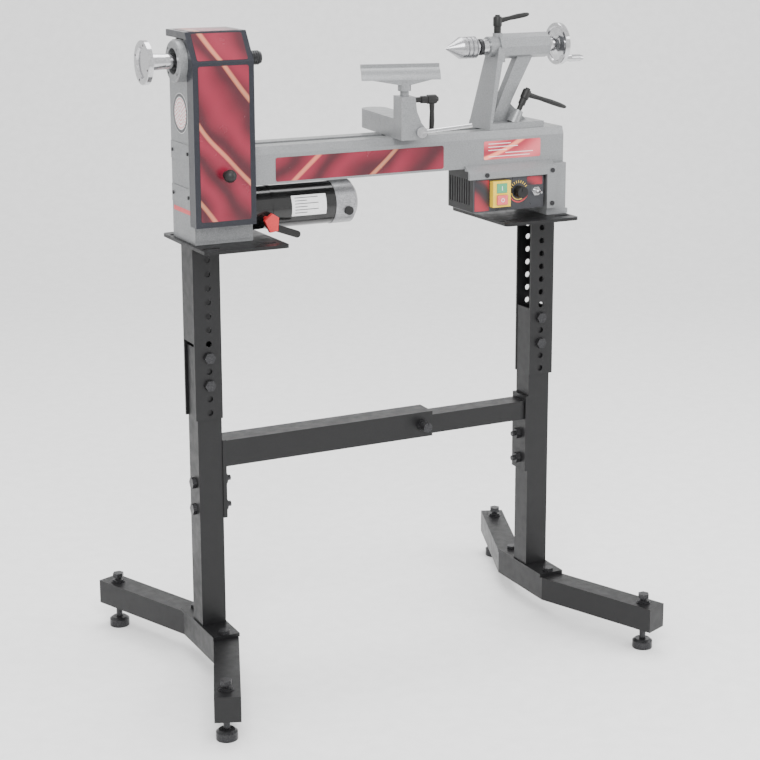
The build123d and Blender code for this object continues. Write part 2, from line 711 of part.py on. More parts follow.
bezel_in_y = -bed_y
with BuildPart() as control_bezel:
    side_profile(bezel_x0, bezel_x1, ((bezel_in_y, bezel_z1), (bezel_y0, bezel_z1 - bezel_bevel), (bezel_y0, bezel_z0),
                                      (bezel_y0 + 6, bezel_z0), (bezel_y0 + 6, box_top - 4), (bezel_in_y, box_top - 4)))
    block(box_x1 + 5, bezel_x1, bezel_y0, bezel_y0 + 6, plate_top + 14, bezel_z0 + 1)
    block(leg_x0, bezel_x1, bezel_y0 + 6, -leg_y, plate_top + 14, box_top - 4)
    block(leg_x0, bezel_x1 + 1, -leg_y, 0, plate_top, bed_bottom, Mode.SUBTRACT)
save(control_bezel.part, "control_bezel")

panel_y = box_y0
with BuildPart() as control_panel:
    block(box_x0, box_x1, panel_y - panel_t, panel_y, box_z0, bezel_z0 - 0.5)
    block(box_x0 + box_wall, box_x1 - box_wall, panel_y, panel_y + box_wall, bezel_z0 - 6, bezel_z0 - 2)
    rod_along_y(panel_y - panel_t - 1, panel_y + 1, dial_x, dial_z, 3 + run, Mode.SUBTRACT)
save(control_panel.part, "control_panel")

with BuildPart() as cover_screws:
    for x, z in ((200.0, 899.0), (343.0, 899.0), (343.0, 836.0)):
        rod_along_y(bezel_y0 - 2, bezel_y0, x, z, 4.5)
    for z in (970.5, 893.5):
        for y in (-17.0, 58.0):
            rod_along_x(head_x0 - 3.5, head_x0 - 1.5, y, z, 3.2)
save(cover_screws.part, "cover_screws")

switch_y0 = panel_y - panel_t - switch_t
switch_mid = (switch_x0 + switch_x1) / 2
green_z = (switch_z0 + switch_z1) / 2 + 11
red_z = (switch_z0 + switch_z1) / 2 - 11
with BuildPart() as switch_frame:
    block(switch_x0, switch_x1, switch_y0, panel_y - panel_t, switch_z0, switch_z1)
    for z in (green_z, red_z):
        block(switch_mid - button_w / 2 - slip, switch_mid + button_w / 2 + slip, switch_y0 - 1, switch_y0 + 9,
              z - button_h / 2 - slip, z + button_h / 2 + slip, Mode.SUBTRACT)
save(switch_frame.part, "switch_frame")

for name, z, proud in (("green_button", green_z, 1.0), ("red_button", red_z, 4.0)):
    with BuildPart() as button:
        block(switch_mid - button_w / 2, switch_mid + button_w / 2, switch_y0 - proud, switch_y0 + 6,
              z - button_h / 2, z + button_h / 2)
        fillet(button.faces().sort_by(Axis.Y)[0].edges(), 0.9)
    save(button.part, name)

with BuildPart() as speed_dial:
    rod_along_y(panel_y - panel_t - 17, panel_y - panel_t - 0.3, dial_x, dial_z, dial_r)
    rod_along_y(panel_y - panel_t - 0.3, panel_y + 1, dial_x, dial_z, 3)
    block(dial_x - 1, dial_x + 1, panel_y - panel_t - 18, panel_y - panel_t - 17, dial_z, dial_z + dial_r - 2)
save(speed_dial.part, "speed_dial")

with BuildPart() as toggle_nut:
    hexagon_y(panel_y - panel_t - 3, panel_y - panel_t, toggle_x, toggle_z, 16)
    rod_along_y(panel_y - panel_t - 8, panel_y - panel_t - 3, toggle_x, toggle_z, 6)
    with Locations((toggle_x, panel_y - panel_t - 8, toggle_z)):
        Sphere(4.0 + slip, mode=Mode.SUBTRACT)
save(toggle_nut.part, "toggle_nut")

with BuildPart() as toggle_lever:
    with Locations((toggle_x, panel_y - panel_t - 8, toggle_z)):
        Sphere(4.0)
    rod_along_y(panel_y - panel_t - 21, panel_y - panel_t - 8, toggle_x, toggle_z, 2.2)
save(toggle_lever.part, "toggle_lever")

with BuildPart() as power_inlet:
    block(230, 258, box_y1, box_y1 + 4, 845, 870)
    block(234, 254, box_y1 + 1, box_y1 + 5, 849, 866, Mode.SUBTRACT)
save(power_inlet.part, "power_inlet")

# ---------------------------------------------------------------- tailstock
def lean_x(z):
    """Left face of the leaning column at height z."""
    return tail_x + tail_lean * (z - bed_top) / centre_h


barrel_low = axis_z - barrel_r
collar_x0 = 235.5
lock_place = barrel_x0 + 3
screw_r = 6.0
with BuildPart() as tailstock:
    block(tail_x, tail_base_x1, -tail_y, tail_y, bed_top, bed_top + tail_base_t)
    block(tail_x + 12, tail_base_x1 - 30, -slot_half + slip, slot_half - slip, bed_top - 5, bed_top)
    # leaning column: wide at the bed, as wide as the barrel at the top
    low = [(-tail_y, bed_top), (tail_y, bed_top), (barrel_r, axis_z), (-barrel_r, axis_z)]
    with BuildSketch(Plane(origin=(tail_x, 0, 0), x_dir=(0, 1, 0), z_dir=(1, 0, 0))) as outline:
        with BuildLine():
            Polyline(*low, close=True)
        make_face()
    extrude(outline.sketch, amount=barrel_x0 - tail_x + 6)
    half = tail_y + 2
    front_profile(-half, half, ((tail_x - 1, bed_top), (lean_x(bed_top), bed_top), (lean_x(axis_z) + 12, axis_z + 1),
                                (tail_x - 1, axis_z + 1)), Mode.SUBTRACT)
    front_profile(-half, half, ((tail_x + tail_wall, bed_top + tail_base_t), (barrel_x0 + 7, bed_top + tail_base_t),
                                (barrel_x0 + 7, barrel_low - 6), (lean_x(axis_z) + 18, barrel_low - 6)), Mode.SUBTRACT)
    # barrel: eight flats
    with BuildSketch(Plane(origin=(barrel_x0, 0, axis_z), x_dir=(0, 1, 0), z_dir=(1, 0, 0))) as outline:
        RegularPolygon(barrel_r, 8, major_radius=False)
    extrude(outline.sketch, amount=barrel_x1 - barrel_x0)
    # diagonal rib
    rib = ((238, bed_top + 6), (268, bed_top + 6), (286, bed_top + 52), (334, axis_z - 12), (300, axis_z - 12))
    front_profile(-rib_t / 2, rib_t / 2, rib)
    # gusset from the rib down to the base, and the tilted boss
    front_profile(-5, 5, ((268, bed_top + 6), (326, bed_top + 6), (284, bed_top + 44)))
    with Locations(Location((clamp_x, clamp_y, bed_top + tail_base_t - 3), (0, clamp_tilt, 0))):
        Cone(13, 9, 26, align=(Align.CENTER, Align.CENTER, Align.MIN))
    block(tail_x + 3, tail_base_x1 - 3, -tail_y + 2, tail_y - 2, bed_top + 2, bed_top + tail_base_t)
    rod_along_x(collar_x0, barrel_x0, 0, axis_z, collar_r)
    rod_along_z(axis_z + 15, axis_z + barrel_r + 3, lock_place, 0, 9)
    rod_along_x(quill_x0 - 1, barrel_x1 - 10, 0, axis_z, quill_r + run, Mode.SUBTRACT)
    rod_along_x(barrel_x1 - 11, barrel_x1 + 1, 0, axis_z, screw_r + run, Mode.SUBTRACT)
    rod_along_z(axis_z, axis_z + barrel_r + 4, lock_place, 0, 5 + run, Mode.SUBTRACT)
save(tailstock.part, "tailstock")

quill_x1 = 338.0
with BuildPart() as quill:
    rod_along_x(quill_x0, quill_x1, 0, axis_z, quill_r)
    rod_along_x(quill_x0 - 1, quill_x0 + 62, 0, axis_z, 8 + run, Mode.SUBTRACT)
    rod_along_x(quill_x0 + 60, quill_x1 + 1, 0, axis_z, screw_r + 1, Mode.SUBTRACT)
save(quill.part, "quill")

neck_x = 216.3
with BuildPart() as centre_arbor:
    turned_x(((neck_x, 0), (neck_x, 15.0), (quill_x0 - 2, 15.5), (quill_x0, 14), (quill_x0, 8), (quill_x0 + 55, 7.2),
              (quill_x0 + 55, 0)))
    rod_along_x(neck_x - 24, neck_x, 0, axis_z, 6)
save(centre_arbor.part, "centre_arbor")

cone_x1 = 178.0
cone_r = 20.5
with BuildPart() as live_centre:
    profile = [(tip_x, 0), (cone_x1 - 1, cone_r), (cone_x1 + 1, cone_r)]
    for k in range(3):
        gx = cone_x1 + 7 + 9 * k
        profile += [(gx, cone_r), (gx + 1, cone_r - 2), (gx + 2.5, cone_r - 2), (gx + 3.5, cone_r)]
    profile += [(208, cone_r), (210, 14), (neck_x - 0.3, 12.7), (neck_x - 0.3, 0)]
    turned_x(profile)
    rod_along_x(neck_x - 26, neck_x, 0, axis_z, 6 + run, Mode.SUBTRACT)
save(live_centre.part, "live_centre")

grip_y = -20.0
grip_z = axis_z - 27.0
rim_x0 = 385.5
rim_x1 = 395.5
with BuildPart() as tail_wheel:
    turned_x(((quill_x1 - 26, 0), (quill_x1 - 26, screw_r), (barrel_x1 + slip, screw_r), (barrel_x1 + slip, 13),
              (380, 14), (384, 20), (rim_x0 + 2, tail_wheel_r - 9), (rim_x0, tail_wheel_r - 7),
              (rim_x0, tail_wheel_r - 1), (rim_x0 + 1, tail_wheel_r), (rim_x1 - 1, tail_wheel_r),
              (rim_x1, tail_wheel_r - 1), (rim_x1, tail_wheel_r - 7), (rim_x0 + 7, tail_wheel_r - 9),
              (390, 16), (388, 0)))
    rod_along_x(rim_x0 + 1, rim_x1 + 1.5, grip_y, grip_z, 6.5)
    rod_along_x(rim_x0 + 2, 434, grip_y, grip_z, 3)
save(tail_wheel.part, "tail_wheel")

with BuildPart() as crank_grip:
    turned_x(((rim_x1 + 1.8, 3 + run), (rim_x1 + 1.8, 5), (rim_x1 + 12, 7), (428, 6.5), (435, 4), (437, 0), (434.3, 0),
              (434.3, 3 + run)), grip_y, grip_z)
save(crank_grip.part, "crank_grip")

under_ways = bed_top - 16
with BuildPart() as tail_clamp:
    block(clamp_x - 25, clamp_x + 25, -32, 32, under_ways - 10.3, under_ways - slip)
    rod_along_z(under_ways - 14, bed_top - 5, clamp_x, 0, 6)
    hexagon_z(under_ways - 20, under_ways - 10.3, clamp_x, 0, 19)
save(tail_clamp.part, "tail_clamp")


def ratchet_lever(stem, screw_depth, length, rise):
    """A clamp lever about the open part's Z: screw, stem, hub, and a handle out along X."""
    rod_along_z(-screw_depth, stem, 0, 0, 5)
    rod_along_z(stem - 8, stem + 6, 0, 0, 7)
    rod_along_z(stem, stem + 23, 0, 0, 8.5)
    rod_along_z(stem + 22, stem + 26, 0, 0, 5)
    with Locations(Location((0, 0, stem + 14), (0, -rise, 0))):
        with Locations((length / 2, 0, 0)):
            Box(length - 12, 8, 10)


lock_plane = Plane(origin=(lock_place, 0, axis_z + barrel_r + 3), x_dir=(1, 0, 0), z_dir=(0, 0, 1))
with BuildPart(lock_plane) as quill_lock:
    ratchet_lever(8, 9.7, 70, 10)
save(quill_lock.part, "quill_lock")

tilt = radians(clamp_tilt)
boss_top = 26.0
clamp_plane = Plane(origin=(clamp_x + boss_top * sin(tilt), clamp_y, bed_top + tail_base_t - 3 + boss_top * cos(tilt)),
                    x_dir=(cos(tilt), 0, -sin(tilt)), z_dir=(sin(tilt), 0, cos(tilt)))
with BuildPart(clamp_plane) as tail_clamp_lever:
    ratchet_lever(20, 0, 96, 9)
save(tail_clamp_lever.part, "tail_clamp_lever")

# ---------------------------------------------------------------- banjo and tool rest
lean = radians(banjo_lean)
banjo_plane = Plane(origin=(banjo_x, 0, bed_top), x_dir=(cos(lean), -sin(lean), 0), z_dir=(0, 0, 1))


def in_banjo(u, v, w):
    """World point of a place given in the banjo's own frame."""
    return (banjo_x + u * cos(lean) + v * sin(lean), -u * sin(lean) + v * cos(lean), bed_top + w)


with BuildPart(banjo_plane) as banjo:
    block(-arm_half, arm_half, block_y1 - 1, arm_y1 - arm_half, 0, arm_h)
    rod_along_z(0, arm_h, 0, arm_y1 - arm_half, arm_half)
    face_plane = Plane(origin=in_banjo(0, block_y1, 0), x_dir=(cos(lean), -sin(lean), 0),
                       z_dir=(-sin(lean), -cos(lean), 0))
    with BuildSketch(face_plane) as outline:
        with BuildLine():
            Polyline((-arm_half, 0), (arm_half + 2, 0), (arm_half + 2, 14), (14, 30), (5, 52),
                     (block_w - arm_half, block_top), (-arm_half, block_top), close=True)
        make_face()
    extrude(outline.sketch, amount=block_y1 - block_y0)
    block(-8.5, 8.5, -32, arm_y1 - 30, -1, 24, Mode.SUBTRACT)
    rod_along_z(8, block_top + 1, post_u, post_v, post_r + run, Mode.SUBTRACT)
    rod_along_x(post_u, arm_half + 3, post_v, 70, 5 + run, Mode.SUBTRACT)
    rod_along_y(block_y0 - 1, -20, cam_u, cam_z, 6 + run, Mode.SUBTRACT)
save(banjo.part, "banjo")

with BuildPart(banjo_plane) as banjo_clamp:
    rod_along_z(-30, 20, 0, 0, 6.5)
    block(-22, 22, -30, 30, -26.3, -16.3)
    hexagon_z(under_ways - 20, under_ways - 10.3, banjo_x, 0, 19)
save(banjo_clamp.part, "banjo_clamp")

with BuildPart(banjo_plane) as banjo_cam:
    rod_along_y(block_y0 - 9, block_y0 - slip, cam_u, cam_z, 10)
    rod_along_y(block_y0 - slip, -34, cam_u, cam_z, 6)
    with Locations(Location((cam_u, block_y0 - 5, cam_z), (0, -4.5, 0))):
        with Locations((rod_l / 2, 0, 0)):
            Cylinder(rod_r, rod_l, rotation=(0, 90, 0))
save(banjo_cam.part, "banjo_cam")

turn = radians(rest_turn)
post_world = in_banjo(post_u, post_v, 0)
rest_plane = Plane(origin=(post_world[0], post_world[1], 0), x_dir=(cos(turn), -sin(turn), 0), z_dir=(0, 0, 1))
with BuildPart(rest_plane) as tool_rest:
    rod_along_z(bed_top + 22, rest_collar_z0 + 1, 0, 0, post_r)
    rod_along_z(rest_collar_z0, rest_collar_z1, 0, 0, rest_collar_r)
    end_plane = Plane(origin=(post_world[0] - rest_left * cos(turn), post_world[1] + rest_left * sin(turn), 0),
                      x_dir=(sin(turn), cos(turn), 0), z_dir=(cos(turn), -sin(turn), 0))
    with BuildSketch(end_plane) as outline:
        with BuildLine():
            Polyline((3, rest_top), (9, rest_top), (9, rest_top - 6), (1, rest_top - 14), (-4, rest_top - rest_h),
                     (-11, rest_top - rest_h))
            ThreePointArc((-11, rest_top - rest_h), (-4.5, rest_top - rest_h / 2 + 1), (3, rest_top - 6))
            Line((3, rest_top - 6), (3, rest_top))
        make_face()
    extrude(outline.sketch, amount=rest_left + rest_right)
    gusset_plane = Plane(origin=(post_world[0] - 3.5 * sin(turn), post_world[1] - 3.5 * cos(turn), 0),
                         x_dir=(cos(turn), -sin(turn), 0), z_dir=(-sin(turn), -cos(turn), 0))
    with BuildSketch(gusset_plane) as outline:
        with BuildLine():
            Polyline((-rest_left + 8, rest_top - rest_h + 2), (rest_right - 8, rest_top - rest_h + 2),
                     (rest_collar_r - 2, rest_collar_z1 - 5), (2 - rest_collar_r, rest_collar_z1 - 5), close=True)
        make_face()
    extrude(outline.sketch, amount=7)
save(tool_rest.part, "tool_rest")

side_point = in_banjo(4, post_v, 70)
side_plane = Plane(origin=side_point, x_dir=(0, 0, -1), z_dir=(cos(lean), -sin(lean), 0))
with BuildPart(side_plane) as post_lock:
    ratchet_lever(24, 4 - post_u - post_r - slip, 62, 0)
save(post_lock.part, "post_lock")
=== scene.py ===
# %% [markdown]
# # A midi wood lathe on its steel stand
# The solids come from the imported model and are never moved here. This script gives each of them its
# finish, and adds the thin, printed and moulded pieces that are too fine for the solids.

# %% Load the frame
import json
import math

import bmesh
import bpy
from mathutils import Matrix, Vector


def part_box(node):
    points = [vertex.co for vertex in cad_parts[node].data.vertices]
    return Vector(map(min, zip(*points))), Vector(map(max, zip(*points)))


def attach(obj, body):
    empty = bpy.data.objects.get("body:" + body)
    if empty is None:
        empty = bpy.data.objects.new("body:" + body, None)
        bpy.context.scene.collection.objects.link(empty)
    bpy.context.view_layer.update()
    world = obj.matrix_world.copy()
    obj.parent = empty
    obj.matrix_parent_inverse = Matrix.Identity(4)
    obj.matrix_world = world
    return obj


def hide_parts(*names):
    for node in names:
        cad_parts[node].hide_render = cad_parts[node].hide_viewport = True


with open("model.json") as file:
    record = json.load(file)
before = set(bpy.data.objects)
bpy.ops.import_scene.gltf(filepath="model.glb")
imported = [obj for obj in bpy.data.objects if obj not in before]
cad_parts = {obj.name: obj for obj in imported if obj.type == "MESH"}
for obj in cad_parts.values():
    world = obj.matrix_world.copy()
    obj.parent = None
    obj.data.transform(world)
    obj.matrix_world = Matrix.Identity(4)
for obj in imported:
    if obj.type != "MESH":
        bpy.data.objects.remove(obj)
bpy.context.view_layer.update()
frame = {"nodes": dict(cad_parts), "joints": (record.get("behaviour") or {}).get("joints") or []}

nodes = frame["nodes"]

# %% [markdown]
# ## Building materials from nodes
# Every finish starts from the same small graph: a noise or a wave in object space drives colour,
# roughness and bump. Object space keeps the grain the same size on every piece, with no unwrapping.

# %% Node helpers
def start_material(name):
    """A new node material with its shader, and a coordinate in metres."""
    material = bpy.data.materials.new(name)
    material.use_nodes = True
    tree = material.node_tree
    shader = tree.nodes["Principled BSDF"]
    coords = tree.nodes.new("ShaderNodeTexCoord")
    return material, tree, shader, coords.outputs["Object"]


def noise(tree, coords, scale, detail=4.0, stretch=(1, 1, 1)):
    """Cloudy values around a half, with features about one over scale metres wide."""
    mapping = tree.nodes.new("ShaderNodeMapping")
    mapping.inputs["Scale"].default_value = stretch
    tree.links.new(coords, mapping.inputs["Vector"])
    cloud = tree.nodes.new("ShaderNodeTexNoise")
    cloud.inputs["Scale"].default_value = scale
    cloud.inputs["Detail"].default_value = detail
    tree.links.new(mapping.outputs["Vector"], cloud.inputs["Vector"])
    return cloud.outputs["Fac"]


def ramp(tree, value, stops):
    """Turn a value into a colour through a list of (place, colour) stops."""
    node = tree.nodes.new("ShaderNodeValToRGB")
    elements = node.color_ramp.elements
    while len(elements) < len(stops):
        elements.new(0.5)
    for element, (place, colour) in zip(elements, stops):
        element.position = place
        element.color = (*colour, 1.0)
    tree.links.new(value, node.inputs["Fac"])
    return node.outputs["Color"]


def spread(tree, value, low, high):
    """Squeeze a 0..1 value into a range."""
    node = tree.nodes.new("ShaderNodeMapRange")
    node.inputs["From Min"].default_value = 0.3
    node.inputs["From Max"].default_value = 0.7
    node.inputs["To Min"].default_value = low
    node.inputs["To Max"].default_value = high
    tree.links.new(value, node.inputs["Value"])
    return node.outputs["Result"]


def bump(tree, shader, value, depth):
    """Raise the surface by depth metres where the value is one."""
    node = tree.nodes.new("ShaderNodeBump")
    node.inputs["Strength"].default_value = 0.6
    node.inputs["Distance"].default_value = depth
    tree.links.new(value, node.inputs["Height"])
    tree.links.new(node.outputs["Normal"], shader.inputs["Normal"])


def coated(name, dark, light, grain, rough, depth, metallic=0.0):
    """Paint, powder coat, plastic or metal: two close tones, a fine grain and a wider drift of gloss."""
    material, tree, shader, coords = start_material(name)
    fine = noise(tree, coords, grain)
    wide = noise(tree, coords, grain / 14)
    tree.links.new(ramp(tree, fine, ((0.35, dark), (0.65, light))), shader.inputs["Base Color"])
    tree.links.new(spread(tree, wide, *rough), shader.inputs["Roughness"])
    shader.inputs["Metallic"].default_value = metallic
    bump(tree, shader, fine, depth)
    return material


# %% [markdown]
# ## The plain finishes
# The stand wears satin black powder coat, which has a fine orange peel. The castings wear a light
# grey hammered paint: a speckle about a millimetre wide. The machined and chromed parts are metals
# with a fine, even grain; their noise is not stretched.

# %% Plain finishes
finishes = {
    "powder_coat": coated("powder_coat", (0.004, 0.004, 0.0045), (0.007, 0.007, 0.0075), 900, (0.34, 0.46), 0.00012),
    "grey_paint": coated("grey_paint", (0.165, 0.17, 0.175), (0.245, 0.25, 0.255), 620, (0.28, 0.42), 0.00025, 0.35),
    "machined_top": coated("machined_top", (0.16, 0.165, 0.165), (0.26, 0.27, 0.27), 300, (0.3, 0.42), 0.00004, 0.7),
    "chrome": coated("chrome", (0.44, 0.44, 0.45), (0.54, 0.54, 0.55), 260, (0.08, 0.17), 0.00002, 1.0),
    "turned_steel": coated("turned_steel", (0.3, 0.3, 0.31), (0.42, 0.42, 0.43), 420, (0.2, 0.34), 0.00004, 1.0),
    "black_steel": coated("black_steel", (0.02, 0.02, 0.022), (0.05, 0.05, 0.052), 500, (0.25, 0.42), 0.00006, 0.6),
    "moulded_black": coated("moulded_black", (0.006, 0.006, 0.006), (0.011, 0.011, 0.011), 1400, (0.38, 0.52), 0.00008),
    "cover_shell": coated("cover_shell", (0.006, 0.007, 0.012), (0.011, 0.012, 0.018), 700, (0.16, 0.26), 0.00004),
    "motor_gloss": coated("motor_gloss", (0.006, 0.006, 0.006), (0.012, 0.012, 0.012), 500, (0.12, 0.2), 0.00003),
    "cast_aluminium": coated("cast_aluminium", (0.22, 0.22, 0.23), (0.36, 0.36, 0.37), 380, (0.3, 0.48), 0.00018, 0.7),
    "ribbed_rubber": coated("ribbed_rubber", (0.01, 0.01, 0.01), (0.02, 0.02, 0.02), 800, (0.6, 0.75), 0.0001),
    "red_moulding": coated("red_moulding", (0.42, 0.015, 0.02), (0.55, 0.03, 0.03), 900, (0.35, 0.45), 0.00006),
    "yellow_moulding": coated("yellow_moulding", (0.62, 0.42, 0.02), (0.75, 0.52, 0.04), 900, (0.3, 0.42), 0.00006),
    "green_key": coated("green_key", (0.05, 0.25, 0.12), (0.08, 0.33, 0.17), 900, (0.3, 0.4), 0.00004),
    "red_key": coated("red_key", (0.6, 0.08, 0.09), (0.72, 0.13, 0.14), 900, (0.3, 0.4), 0.00004),
    "pale_print": coated("pale_print", (0.62, 0.62, 0.62), (0.78, 0.78, 0.78), 900, (0.35, 0.45), 0.00001),
    "dark_print": coated("dark_print", (0.02, 0.021, 0.025), (0.035, 0.036, 0.042), 900, (0.25, 0.35), 0.00001),
    "yellow_print": coated("yellow_print", (0.7, 0.45, 0.05), (0.8, 0.55, 0.08), 900, (0.35, 0.45), 0.00001),
    "red_print": coated("red_print", (0.5, 0.03, 0.04), (0.62, 0.05, 0.06), 900, (0.3, 0.4), 0.00001),
}
for dull in ("powder_coat", "moulded_black", "black_steel"):
    finishes[dull].node_tree.nodes["Principled BSDF"].inputs["Specular IOR Level"].default_value = 0.32
print("finishes:", len(finishes))

# %% [markdown]
# ## The printed panels
# The cover, the bed and the controls carry glossy printed film in deep reds. A generic print of soft
# diagonal bands does this: two warped waves of different width, one through maroon and red, and one
# that only lights up a few thin warm lines.

# %% Printed film
def printed_film(name, direction, darkest=(0.055, 0.006, 0.012), deep=(0.11, 0.008, 0.018), red=(0.20, 0.012, 0.03),
                 lines=0.3, seed=0.0):
    """Deep red film: wide soft bands, with thin warm lines along the same slant."""
    material, tree, shader, coords = start_material(name)
    mapping = tree.nodes.new("ShaderNodeMapping")
    mapping.inputs["Rotation"].default_value = direction
    mapping.inputs["Location"].default_value = (seed, seed, seed)
    tree.links.new(coords, mapping.inputs["Vector"])
    wide = tree.nodes.new("ShaderNodeTexWave")
    wide.inputs["Scale"].default_value = 4.6
    wide.inputs["Distortion"].default_value = 7.0
    wide.inputs["Detail Scale"].default_value = 1.2
    thin = tree.nodes.new("ShaderNodeTexWave")
    thin.inputs["Scale"].default_value = 3.1
    thin.inputs["Distortion"].default_value = 2.4
    thin.inputs["Detail Scale"].default_value = 0.9
    for wave in (wide, thin):
        tree.links.new(mapping.outputs["Vector"], wave.inputs["Vector"])
    bands = ramp(tree, wide.outputs["Fac"], ((0.0, darkest), (0.3, deep), (1.0, red)))
    glow = ramp(tree, thin.outputs["Fac"], ((0.975, (0, 0, 0)), (0.992, (lines, lines * 0.36, lines * 0.16)),
                                            (1.0, (lines, lines * 0.5, lines * 0.26))))
    mix = tree.nodes.new("ShaderNodeMix")
    mix.data_type = "RGBA"
    mix.blend_type = "ADD"
    mix.inputs["Factor"].default_value = 1.0
    tree.links.new(bands, mix.inputs["A"])
    tree.links.new(glow, mix.inputs["B"])
    tree.links.new(mix.outputs["Result"], shader.inputs["Base Color"])
    tree.links.new(spread(tree, noise(tree, coords, 40), 0.18, 0.28), shader.inputs["Roughness"])
    return material


finishes["cover_film"] = printed_film("cover_film", (0, math.radians(38), 0), seed=0.31)
finishes["bed_film"] = printed_film("bed_film", (0, math.radians(-52), 0), seed=1.7)
finishes["notice_film"] = printed_film("notice_film", (0, math.radians(-64), 0), deep=(0.45, 0.05, 0.07),
                                       red=(0.62, 0.12, 0.14), darkest=(0.3, 0.02, 0.04), lines=0.5, seed=0.9)
finishes["control_film"] = printed_film("control_film", (0, math.radians(44), 0), deep=(0.05, 0.02, 0.024),
                                        red=(0.3, 0.02, 0.035), darkest=(0.02, 0.02, 0.024), seed=2.2)
print("films ready")

# %% [markdown]
# ## Finishing the solids
# One table says which finish each solid wears. A narrow bevel on the hard edges catches the light as
# a real machined or moulded edge does.

# %% Dress the solids
worn = {
    "powder_coat": ("left_foot", "right_foot", "left_post", "right_post", "left_bracket", "right_bracket",
                    "crossbar_sleeve", "crossbar_slide", "control_box"),
    "black_steel": ("stand_bolts", "leveller_front_left", "leveller_front_right", "leveller_back_left",
                    "leveller_back_right", "leveller_nuts", "crossbar_lock", "cover_screws",
                    "spindle", "centre_arbor"),
    "grey_paint": ("bed", "headstock", "access_panels", "control_bezel", "tailstock", "banjo", "tool_rest",
                   "accessory_ring"),
    "turned_steel": ("bearings", "cover_hinge", "motor_shaft", "live_centre", "tail_clamp", "banjo_clamp"),
    "chrome": ("outboard_wheel", "quill", "tail_wheel", "crank_grip", "banjo_cam", "toggle_nut", "toggle_lever"),
    "cast_aluminium": ("spindle_pulley", "motor_pulley", "motor_cap"),
    "ribbed_rubber": ("drive_belt",),
    "cover_shell": ("belt_cover",),
    "motor_gloss": ("motor_body",),
    "moulded_black": ("cover_knob", "brush_caps", "tension_lever", "speed_dial", "power_inlet", "quill_lock",
                      "tail_clamp_lever", "post_lock"),
    "red_moulding": ("tension_tab",),
    "dark_print": ("control_panel",),
    "yellow_moulding": ("switch_frame",),
    "green_key": ("green_button",),
    "red_key": ("red_button",),
}
dressed = 0
for finish, names in worn.items():
    for name in names:
        solid = nodes[name]
        solid.data.materials.clear()
        solid.data.materials.append(finishes[finish])
        edge = solid.modifiers.new("soft_edges", "BEVEL")
        edge.width = 0.0007
        edge.segments = 2
        edge.limit_method = "ANGLE"
        edge.angle_limit = math.radians(40)
        edge.harden_normals = True
        dressed += 1
print("dressed solids:", dressed, "of", len(nodes))

# %% [markdown]
# ## Thin printed pieces
# Film and plates are rounded slabs a fraction of a millimetre thick. They could be planes, but a slab
# with a real edge shows a hairline of light round it. One helper builds a rounded slab in its own
# plane, and a matrix stands it on the casting.

# %% Slab helper
def add_piece(name, work, finish, body, smooth_angle=None):
    """Turn worked geometry into a named piece that rides on a body."""
    mesh = bpy.data.meshes.new(name)
    work.to_mesh(mesh)
    work.free()
    mesh.materials.append(finishes[finish])
    if smooth_angle is not None:
        mesh.set_sharp_from_angle(angle=math.radians(smooth_angle))
    piece = bpy.data.objects.new(name, mesh)
    bpy.context.scene.collection.objects.link(piece)
    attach(piece, body)
    return piece


def rounded_slab(name, width, height, thick, corner, place, finish, body, steps=5):
    """A slab with rounded corners, centred on place (a matrix whose Z points out of the surface)."""
    work = bmesh.new()
    ring = []
    for cx, cy, start in ((1, 1, 0), (-1, 1, 90), (-1, -1, 180), (1, -1, 270)):
        for k in range(steps + 1):
            a = math.radians(start + 90 * k / steps)
            x = cx * (width / 2 - corner) + corner * math.cos(a)
            y = cy * (height / 2 - corner) + corner * math.sin(a)
            ring.append((x, y))
    low = [work.verts.new((x, y, 0)) for x, y in ring]
    high = [work.verts.new((x, y, thick)) for x, y in ring]
    work.faces.new(high)
    work.faces.new(list(reversed(low)))
    count = len(ring)
    for k in range(count):
        n = (k + 1) % count
        work.faces.new((low[k], low[n], high[n], high[k]))
    work.transform(place)
    return add_piece(name, work, finish, body)


def on_front(x, y, z):
    """Stand a slab on a face that looks towards the operator."""
    return Matrix.Translation((x, y, z)) @ Matrix.Rotation(math.radians(90), 4, "X")


def on_left(x, y, z):
    """Stand a slab on a face that looks left."""
    return Matrix.Translation((x, y, z)) @ Matrix.Rotation(math.radians(-90), 4, "Y")


def turned(name, profile, place, finish, body, segments=48):
    """Turn (radius, height) points about the Z of place: knobs, rings, washers and discs."""
    work = bmesh.new()
    rings = []
    for radius, height in profile:
        rings.append([work.verts.new((radius * math.cos(2 * math.pi * k / segments),
                                      radius * math.sin(2 * math.pi * k / segments), height))
                      for k in range(segments)] if radius > 0 else [work.verts.new((0, 0, height))])
    for one, two in zip(rings, rings[1:]):
        for k in range(segments):
            n = (k + 1) % segments
            if len(one) == 1:
                work.faces.new((one[0], two[n], two[k]))
            elif len(two) == 1:
                work.faces.new((one[k], one[n], two[0]))
            else:
                work.faces.new((one[k], one[n], two[n], two[k]))
    bmesh.ops.recalc_face_normals(work, faces=work.faces)
    for face in work.faces:
        face.smooth = True
    work.transform(place)
    return add_piece(name, work, finish, body, 35)


def strip(name, rows, finish, place=None):
    """Close rows of four points into a thin strip on the lathe: an arc or a wrapped plate."""
    work = bmesh.new()
    rows = [[work.verts.new(point) for point in row] for row in rows]
    for one, two in zip(rows, rows[1:]):
        for a, b in ((0, 1), (1, 3), (3, 2), (2, 0)):
            work.faces.new((one[a], one[b], two[b], two[a]))
    work.faces.new([rows[0][i] for i in (0, 2, 3, 1)])
    work.faces.new([rows[-1][i] for i in (0, 1, 3, 2)])
    bmesh.ops.recalc_face_normals(work, faces=work.faces)
    if place is not None:
        work.transform(place)
    return add_piece(name, work, finish, "lathe")


